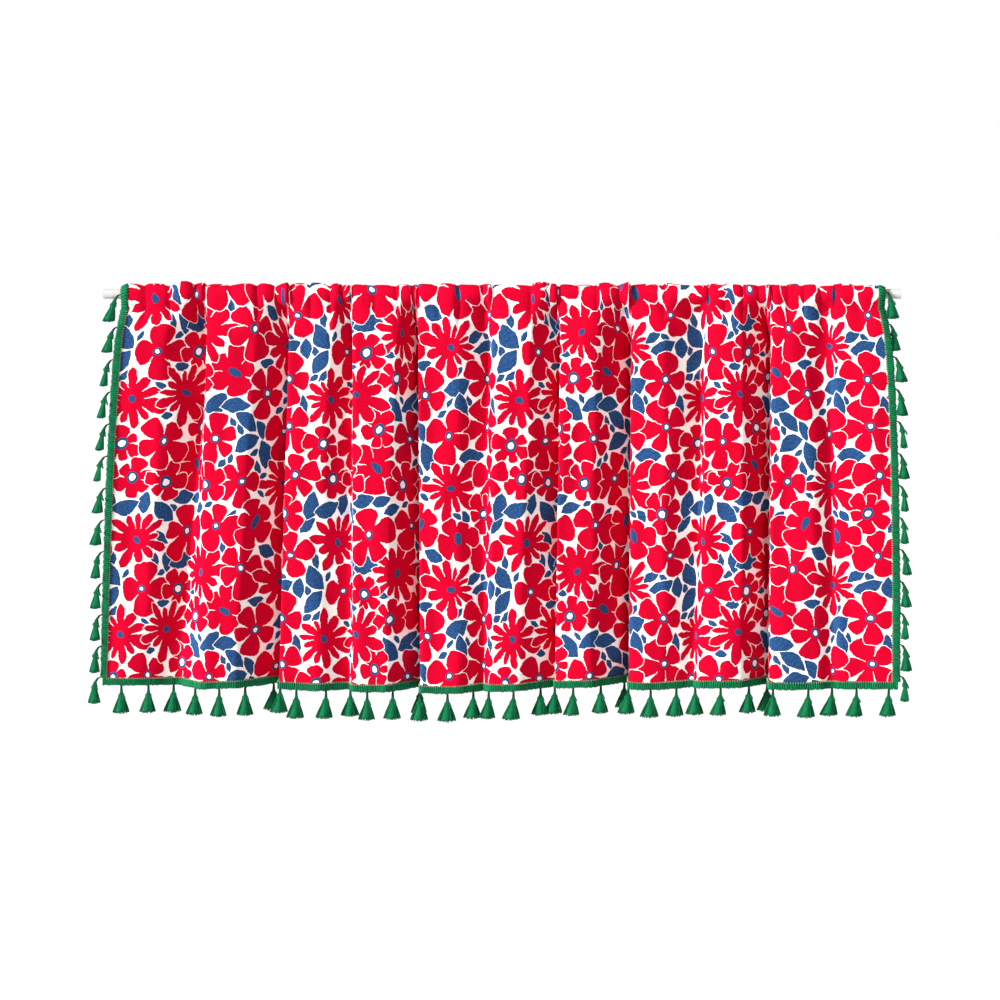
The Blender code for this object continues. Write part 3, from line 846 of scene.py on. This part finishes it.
# The cloth's own map for baking: three stretches of the front, and the back squeezed into what is left
bakeBoxes = {
    "front": ((0.0, 0.46, 0.5, 1.0), (0.5, 0.46, 1.0, 1.0), (0.0, 0.0, 0.5, 0.455)),
    "back": (0.5, 0.0, 1.0, 0.455), "margin": 0.002,
}


def bakeCorners(faceColumn, corners, s, isFront):
    third = cloth["width"] / 3
    panel = np.minimum((s[faceColumn] / third).astype(int), 2)
    across = (corners[..., 0] - panel[:, None] * third) / third
    up = corners[..., 1] / clothLength
    box, margin = np.array(bakeBoxes["front"])[panel], bakeBoxes["margin"]
    low, high = box[:, None, :2] + margin, box[:, None, 2:] - margin
    front = low + (high - low) * np.stack([across, up], -1)
    backLow, backHigh = np.array(bakeBoxes["back"][:2]) + margin, np.array(bakeBoxes["back"][2:]) - margin
    back = backLow + (backHigh - backLow) * np.stack([1 - corners[..., 0] / cloth["width"], up], -1)
    return np.where(isFront[:, None, None], front, back)


def makeCloth():
    # the middle of the cloth, moved half its thickness each way along its normals, and closed round its edge
    s, v = clothGrid()
    rows, columns = len(v), len(s)
    sGrid, vGrid = np.meshgrid(s, v)
    middle = clothPoint(sGrid, vGrid)
    normal = unit(np.cross(np.gradient(middle, axis=1), np.gradient(middle, axis=0)))
    half = cloth["thickness"] / 2
    points = np.concatenate([middle + half * normal, middle - half * normal]).reshape(-1, 3)
    front = gridQuads(rows, columns)
    count = rows * columns
    back = front[:, ::-1] + count
    rim = np.concatenate([
        np.arange(columns), columns * np.arange(1, rows) + columns - 1,
        (rows - 1) * columns + np.arange(columns - 1)[::-1], columns * np.arange(1, rows - 1)[::-1],
    ])
    after = np.roll(rim, -1)
    edge = np.column_stack([after, rim, rim + count, after + count])
    faces = np.concatenate([front, back, edge])
    isBack = np.repeat([0.0, 1.0, 0.0], [len(front), len(back), len(edge)])
    finishes = [printedCotton("printedCotton"), printedCotton("reverseCotton", True)]
    piece = newPiece("cloth", points, [faces], finishes, isBack)
    flatPlaces = np.stack([sGrid.ravel(), vGrid.ravel()], -1)[faces % count]
    addUv(piece, "flat", flatPlaces)
    motifs = layPrint()
    chosen = motifsOfFaces(motifs, s, v)
    rimRow, rimColumn = np.minimum(rim // columns, rows - 2), np.minimum(rim % columns, columns - 2)
    chosen = np.concatenate([chosen, chosen, chosen[rimRow * (columns - 1) + rimColumn]])
    table = {key: np.append(motifs[key], noMotif[key]) for key in motifKeys}
    for layer in range(layers):
        for number, keys in enumerate(printGroups):
            values = np.stack([table[key][chosen[:, layer]] for key in keys], -1)
            addValues(piece, f"motif{layer}{number}", values, "FLOAT_VECTOR", "FACE")
    faceColumn = faces.min(axis=1) % count % columns
    addUv(piece, "OFBake", bakeCorners(faceColumn, flatPlaces, s, isBack < 0.5))
    print("cloth:", rows, "rows,", columns, "columns,", len(faces) * 2, "triangles; motifs", len(motifs["x"]))
    return piece


# The braid. Its outline goes across the band from its outer edge: how far across, how high as a share of its
# thickness, and how far a scallop moves it outwards.
braid = {
    "widths": {"hem": 0.0080, "left": 0.0079, "right": 0.0086},
    "proud": 0.002, "thickness": 0.0014, "clear": 0.0004,
    "ribPitch": 0.0026, "samplesPerRib": 6, "ribHeight": 0.0007, "scallop": 0.0012,
    "wander": 0.0004, "wanderLengths": (0.0113, 0.037), "tone": (0.80, 0.18),
    "outline": (
        (0.00, 0.30, 1), (0.08, 0.80, 1), (0.28, 1.00, 0), (0.50, 0.94, 0), (0.72, 1.00, 0),
        (0.92, 0.80, -1), (1.00, 0.30, -1), (0.92, 0.0, -0.5), (0.08, 0.0, 0.5),
    ),
}
# the yarn's greens: each strand's tone runs from deep to yarn, and light is the colour of the painted sheen
# on the raised streaks
greens = {
    "yarn": (0.0019, 0.170, 0.059), "deep": (0.0005, 0.024, 0.009), "light": (0.008, 0.200, 0.090),
    "lightFrom": 0.45, "lightGain": 3.8,
}


def yarnFinish(name, scale):
    # soft twisted yarn: a tone for each strand, and a painted sheen of lighter streaks along it, where the
    # streaks stand out in relief
    m = Finish(name, roughness=0.85, specular=0.08, sheen=0.04)
    tone = m.node("Attribute", {"attribute_name": "tone"}, output="Fac")
    x, y, z = m.parts(m.place())
    streaks = m.noise(m.vector(x * scale[0], y * scale[1], z * scale[2]), 1.0, 3.0)
    # painted sheen: lighter where the streaks stand high, and less where the tone is low
    paintedSheen = m.maths.maximum(streaks - greens["lightFrom"], 0.0) * tone * greens["lightGain"]
    m.feed("Base Color", m.blend(paintedSheen, m.blend(tone, greens["deep"], greens["yarn"]), greens["light"]))
    m.bump(streaks, 0.0005)
    return m.material


def braidPoints(places, across, lift, side):
    # places along one edge of the cloth, how far in from it, and how far off the cloth; past the cloth's edge
    # they go straight on
    places, across, lift = np.broadcast_arrays(places, across, lift)
    width = cloth["width"]
    s, v = {"hem": (places, across), "left": (across, places), "right": (width - across, places)}[side]
    sIn, vIn = np.clip(s, 0, width), np.clip(v, 0, clothLength)
    point, normal = clothPoint(sIn, vIn), clothNormal(sIn, vIn)
    step = 0.0005
    sNear, vNear = np.clip(sIn, step, width - step), np.clip(vIn, step, drop - step)
    sideways = unit(clothPoint(sNear + step, vIn) - clothPoint(sNear - step, vIn))
    upward = unit(clothPoint(sIn, vNear + step) - clothPoint(sIn, vNear - step))
    point = point + sideways * (s - sIn)[..., None] + upward * (v - vIn)[..., None]
    return point + normal * lift[..., None]


def makeBraid(side, start, end):
    # a band carried along the edge: ribs across it, and each edge let out in a scallop at every rib, |sin| of
    # the way along, and waver a little
    ribs = round((end - start) / braid["ribPitch"])
    t = np.linspace(0, 1, ribs * braid["samplesPerRib"] + 1)
    places = start + (end - start) * t
    wave = np.abs(np.sin(pi * ribs * t))
    wander = waver(places, braid["wanderLengths"], 3)
    width, outer = braid["widths"][side], -braid["proud"]
    grid = []
    for across, high, outwards in braid["outline"]:
        scallop = -outwards * (braid["scallop"] * wave + braid["wander"] * wander)
        lift = braid["clear"] + high * braid["thickness"] + (braid["ribHeight"] * wave if high > 0.5 else 0.0)
        grid.append(braidPoints(places, outer + across * width + scallop, lift, side))
    grid = np.array(grid)
    rows, columns = grid.shape[:2]
    faces = gridQuads(rows, columns, closed=True)
    firsts = np.arange(rows) * columns
    ends = np.array([firsts, firsts[::-1] + columns - 1])
    if side != "left":
        faces, ends = faces[:, ::-1], ends[:, ::-1]
    # the tone: painted shade in the grooves between the ribs, darker where wave is low, and lighter and
    # darker along the band with the wander
    return grid.reshape(-1, 3), [faces, ends], np.tile(wave**0.5 * varied(braid["tone"], wander), rows)


def bandEdge(side):
    # how far in from the cloth's edge the braid's inner edge lies
    return braid["widths"][side] - braid["proud"]


# Each stitch is lifted off the cloth over the braid's edge and goes down into the cloth beyond it
stitch = {
    "pitch": 0.0029, "length": 0.0013, "radius": 0.00028, "slant": 0.0006, "inside": 0.0003,
    "fromCorner": 0.006, "path": ((0.0, 0.0023), (0.5, 0.0022), (1.0, 0.0009)), "sides": 4,
    "dark": (0.62, 0.30, 0.17), "light": (0.62, 0.44, 0.28),
}


def makeStitches():
    # short slanting stitches over the braid's inner edge
    paths = []
    corner, foot = stitch["fromCorner"], bandEdge("hem")
    runs = {"hem": (corner, cloth["width"] - corner), "left": (foot, drop), "right": (foot, drop)}
    for side, (start, end) in runs.items():
        inner = bandEdge(side)
        places = np.arange(start, end, stitch["pitch"])
        path = []
        for share, lift in stitch["path"]:
            across = inner - stitch["inside"] + stitch["length"] * share
            path.append(braidPoints(places + (share - 0.5) * stitch["slant"], across, lift, side))
        paths.append(np.stack(path, 1))
    paths = np.concatenate(paths)
    points, quads, caps = tubes(paths, np.full(paths.shape[:2], stitch["radius"]), stitch["sides"])
    thread = Finish("stitchThread", roughness=0.8, specular=0.1)
    shade = thread.noise(thread.place(), 300.0)
    thread.feed("Base Color", thread.blend(shade, stitch["dark"], stitch["light"]))
    print("stitches:", len(paths))
    return newPiece("stitches", points, [quads, caps], [thread.material])


# A tassel: places down it from 0 at the braid to 1 at the skirt's end, and there the skirt's radius and a
# strand's. Its swing, tilt, twist and ragged end are spreads of normal draws.
tassel = {
    "strands": 74, "length": 0.0332, "knotAt": 0.40, "flat": 0.62, "crowding": 0.3,
    "places": (0.0, 0.14, 0.27, 0.40, 0.50, 0.66, 0.83, 1.0),
    "radii": (0.0010, 0.0012, 0.0016, 0.0034, 0.0045, 0.0068, 0.0090, 0.0109),
    "thickness": (0.00042, 0.00042, 0.00045, 0.00048, 0.00050, 0.00056, 0.00062, 0.00060),
    "lengths": (0.96, 0.07), "reaches": (0.9, 0.2), "swing": 0.035, "tilt": 0.04,
    "twist": 0.3, "strandTwist": 0.08, "ragged": 0.008, "longerInFront": 0.035,
    # shade: the painted shade towards the neck, a varying pair over the way down the tassel
    "shade": (0.05, 0.95), "tones": (0.25, 0.75),
    "core": {"radius": 0.72, "short": 0.0012, "tone": 0.55},
    "wrap": {
        "turns": 3, "radii": (0.0036, 0.0026), "from": 0.03, "length": 0.05, "radius": 0.0006, "tone": 0.55,
    },
    "tail": {
        "path": (
            (0.0020, -0.0018, 0.0004), (0.0034, -0.0022, -0.0004),
            (0.0040, -0.0020, -0.0018), (0.0040, -0.0018, -0.0034),
        ),
        "sizes": (0.80, 0.35), "radius": 0.0011, "tone": 0.5,
    },
}


def makeTassels(roots, reach, outward, width, uneven, length, seed, lean):
    # Every strand starts in the cord, passes through the knot and fans out into the skirt, over a solid core.
    # The k-th strand is at an angle of k times 137.5 degrees and a power of k / count of the way out. reach
    # is how far the cord first goes sideways, as a curve that falls away like a quarter of an ellipse; lean
    # is the skirt's slope; uneven is how much the skirts' widths differ.
    rng = np.random.default_rng(seed)
    parts, tones = [], []

    def add(paths, radius, sides, tone):
        parts.append(tubes(paths, np.broadcast_to(radius, paths.shape[:2]), sides))
        tones.append(np.repeat(np.broadcast_to(tone, paths.shape[:2]), sides))

    count, strands, knotAt = len(roots), tassel["strands"], tassel["knotAt"]
    t = np.array(tassel["places"])
    size = length * varied(tassel["lengths"], rng.random(count))
    wide = width * (1 + uneven * (2 * rng.random(count) - 1))
    swing = tassel["swing"] * rng.standard_normal(count) + lean * outward
    toKnot = np.clip(t / knotAt, 0, 1)
    sink = np.where(reach > 0, 1 - np.cos(toKnot * pi / 2), toKnot) * knotAt + np.clip(t - knotAt, 0, 1)
    below = size[:, None] * sink
    goOut = outward * reach * varied(tassel["reaches"], rng.random(count))[:, None] * np.sin(toKnot * pi / 2)
    x = roots[:, None, 0] + goOut
    x = x + swing[:, None] * size[:, None] * np.clip(t - knotAt * 0.6, 0, 1)
    y = roots[:, None, 1] + tassel["tilt"] * rng.standard_normal(count)[:, None] * below
    centre = np.stack([x, y, roots[:, None, 2] - below], -1)
    spread = np.where(t > knotAt + 0.01, wide[:, None], 1.0) * np.array(tassel["radii"])
    k = np.arange(strands)
    angle = k * radians(137.5) + rng.random(count)[:, None] * 6
    share = ((k + 0.5) / strands) ** tassel["crowding"]
    radial = share[None, :, None] * spread[:, None, :]
    twist = tassel["twist"] * t * rng.standard_normal((count, 1, 1))
    twist = twist + tassel["strandTwist"] * rng.standard_normal((count, strands, 1)) * t
    turn = angle[:, :, None] + twist
    offset = [radial * np.cos(turn), radial * np.sin(turn) * tassel["flat"], np.zeros_like(turn)]
    paths = centre[:, None] + np.stack(offset, -1)
    ragged = tassel["ragged"] * rng.standard_normal((count, strands, 1))
    longer = (ragged + tassel["longerInFront"] * np.sin(turn) ** 2) * smooth((t - 0.6) / 0.4)
    paths[..., 2] -= size[:, None, None] * longer
    paths = paths.reshape(-1, len(t), 3)
    # painted shade: strands and core darker towards the neck, from 0.05 of their tone at the top to their
    # whole tone just below the knot
    shade = varied(tassel["shade"], smooth((t - 0.1) / 0.35))
    add(paths, tassel["thickness"], 3, varied(tassel["tones"], rng.random(len(paths)))[:, None] * shade)

    core = tassel["core"]
    inner = centre.copy()
    inner[:, -1, 2] += core["short"]
    add(inner, spread * core["radius"], 8, core["tone"] * shade)

    # the thread wound round the knot, a helix, and its end
    wrap = tassel["wrap"]
    w = np.linspace(0, 1, 8 * wrap["turns"] + 1)
    wound = knotAt - wrap["from"] + wrap["length"] * w
    neck = np.stack([[np.interp(wound, t, one[:, axis]) for one in centre] for axis in range(3)], -1)
    around = 2 * pi * wrap["turns"] * w
    neck = neck + np.stack([wrap["radii"][0] * np.cos(around), wrap["radii"][1] * np.sin(around), 0 * w], -1)
    add(neck, wrap["radius"], 4, wrap["tone"])
    end = tassel["tail"]
    tail = centre[:, 3][:, None] + np.array(end["path"]) * varied(end["sizes"], rng.random((count, 1, 1)))
    add(tail, end["radius"], 5, end["tone"])

    points, faces, first = [], [], 0
    for partPoints, quads, caps in parts:
        faces += [quads + first, caps + first]
        points.append(partPoints)
        first += len(partPoints)
    return np.concatenate(points), faces, np.concatenate(tones)


# Where the cords leave the braid, how far in from its outer edge and how far off the cloth; how high up the
# pocket the top cords and the side braids reach, as shares of it; and the side braids' gap above the hem's
cordRoot = {"inside": 0.0006, "lift": 0.0009, "overPocket": 0.30, "braidTop": 0.40, "braidFoot": 0.0003}
hemTassels = {"count": 36, "first": 0.71, "uneven": 0.07, "lean": -0.07, "seed": 21}
# The side tassels are shorter and slimmer. The topmost are the widest, and those lower down lean out less.
sideTassels = {
    "count": 13, "pitch": 0.0384, "length": 0.0310, "uneven": 0.28, "topWider": 0.5, "topReach": 0.06,
    "leanLost": 0.75,
    "left": {"first": 0.000, "outward": -1, "reach": 0.0086, "width": 0.55, "lean": 0.26, "seed": 31},
    "right": {"first": 0.0035, "outward": 1, "reach": 0.0070, "width": 0.52, "lean": 0.12, "seed": 41},
}


def rootsAt(places, side):
    return braidPoints(places, -braid["proud"] + cordRoot["inside"], cordRoot["lift"], side)


def edgeRoots(side, zs):
    # where cords leave a side braid: its outer edge at these heights
    low = rootsAt(np.clip(drop - (cloth["seamZ"] - zs), 0, drop), side)
    high = rootsAt(np.full(len(zs), drop + cloth["pocketLength"] * cordRoot["overPocket"]), side)
    roots = np.where((zs > cloth["seamZ"])[:, None], high, low)
    roots[:, 2] = zs
    return roots


def makeFringes(yarn, braidYarn):
    # the hem's braid and tassels, then the sides', then the stitches; each with the side that it is on
    count = hemTassels["count"]
    roots = rootsAt(cloth["width"] / count * (hemTassels["first"] + np.arange(count)), "hem")
    hanging = makeTassels(
        roots, 0.0, 1, 1.0, hemTassels["uneven"], tassel["length"], hemTassels["seed"], hemTassels["lean"]
    )
    made = [("bottom", makeBraid("hem", 0.0, cloth["width"]), hanging)]
    foot = bandEdge("hem") + cordRoot["braidFoot"]
    top = drop + cloth["pocketLength"] * cordRoot["braidTop"]
    down = np.linspace(0, 1, sideTassels["count"])
    for side in ("left", "right"):
        own = sideTassels[side]
        zs = own["first"] - sideTassels["pitch"] * np.arange(sideTassels["count"])
        widths = own["width"] * (1 + sideTassels["topWider"] * np.exp(-down / sideTassels["topReach"]))
        leans = own["lean"] * (1 - sideTassels["leanLost"] * down)
        hanging = makeTassels(
            edgeRoots(side, zs), own["reach"], own["outward"], widths, sideTassels["uneven"],
            sideTassels["length"], own["seed"], leans,
        )
        made.append((side, makeBraid(side, foot, top), hanging))
    pieces = []
    for side, band, hanging in made:
        for what, parts, finish in (("braid", band, braidYarn), ("tassels", hanging, yarn)):
            points, faces, tone = parts
            piece = newPiece(f"{what}_{side}", points, faces, [finish])
            addValues(piece, "tone", tone, "FLOAT", "POINT")
            pieces.append((side, piece))
            print(piece.name, sum(len(g) * (g.shape[1] - 2) for g in faces), "triangles")
    pieces.append(("bottom", makeStitches()))
    return pieces


print("laying the cloth")
clothPiece = makeCloth()
print("making the fringe")
fringes = makeFringes(yarnFinish("tasselYarn", (900, 900, 160)), yarnFinish("braidYarn", (500, 500, 500)))

print("painting the rod")
rodPaint = {"light": (0.50, 0.51, 0.505), "dark": (0.46, 0.465, 0.46), "specks": 90.0}
enamel = Finish("whiteEnamel", roughness=0.3, specular=0.5)
speck = enamel.noise(enamel.place(), rodPaint["specks"], 3.0)
enamel.feed("Base Color", enamel.blend(speck * 0.25, rodPaint["light"], rodPaint["dark"]))
enamel.feed("Roughness", 0.25 + speck * 0.15)
enamel.bump(speck, 0.00005)
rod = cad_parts["rod"]
rod.data.materials.clear()
rod.data.materials.append(enamel.material)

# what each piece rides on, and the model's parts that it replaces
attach(clothPiece, "root")
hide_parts("cloth_panel")
for side, piece in fringes:
    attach(piece, "root")
    if piece.name.startswith("braid"):
        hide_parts("fringe_" + side)

print("setting the floor, light and camera")
floorLook = {"size": 80, "z": -1.1, "dark": (0.79, 0.82, 0.84), "light": (0.80, 0.83, 0.85), "patches": 3.0}
light = {"sun": 7.4, "fromLeft": 63.0, "fromAbove": 20.0, "spread": 12.0, "surround": (0.64, 0.54, 0.505)}
view = {"lens": 90.5, "sensor": 36, "place": (0.4712, -3.0, 0.05), "aim": (0.4712, 0.0, -0.2463)}

bpy.ops.mesh.primitive_plane_add(size=floorLook["size"], location=(0, 0, floorLook["z"]))
floor = bpy.context.object
floor.name = "floor"
paint = Finish("floorPaint", roughness=0.9, specular=0.1)
patches = paint.noise(paint.place(), floorLook["patches"])
paint.feed("Base Color", paint.blend(patches, floorLook["dark"], floorLook["light"]))
floor.data.materials.append(paint.material)

sunData = bpy.data.lights.new("key", "SUN")
sunData.energy = light["sun"]
sunData.angle = radians(light["spread"])
sun = bpy.data.objects.new("key", sunData)
left, above = radians(light["fromLeft"]), radians(light["fromAbove"])
towards = Vector((-sin(left) * cos(above), -cos(left) * cos(above), sin(above)))
sun.rotation_euler = towards.to_track_quat("Z", "Y").to_euler()
bpy.context.scene.collection.objects.link(sun)

# the surroundings light the curtain dimly and warmly, and the backdrop seen past it is plain white
world = bpy.data.worlds.new("studio")
world.use_nodes = True
studio = Nodes(world.node_tree)
isSeen = studio.node("LightPath", output="Is Camera Ray")
backdrop = studio.blend(isSeen, light["surround"], (1, 1, 1))
world.node_tree.links.new(backdrop.socket, world.node_tree.nodes["Background"].inputs["Color"])
bpy.context.scene.world = world
bpy.context.scene.view_settings.view_transform = "Standard"

cameraData = bpy.data.cameras.new("camera")
cameraData.lens = view["lens"]
cameraData.sensor_width = view["sensor"]
camera = bpy.data.objects.new("camera", cameraData)
camera.location = view["place"]
camera.rotation_euler = (Vector(view["aim"]) - Vector(view["place"])).to_track_quat("-Z", "Y").to_euler()
bpy.context.scene.collection.objects.link(camera)
bpy.context.scene.camera = camera
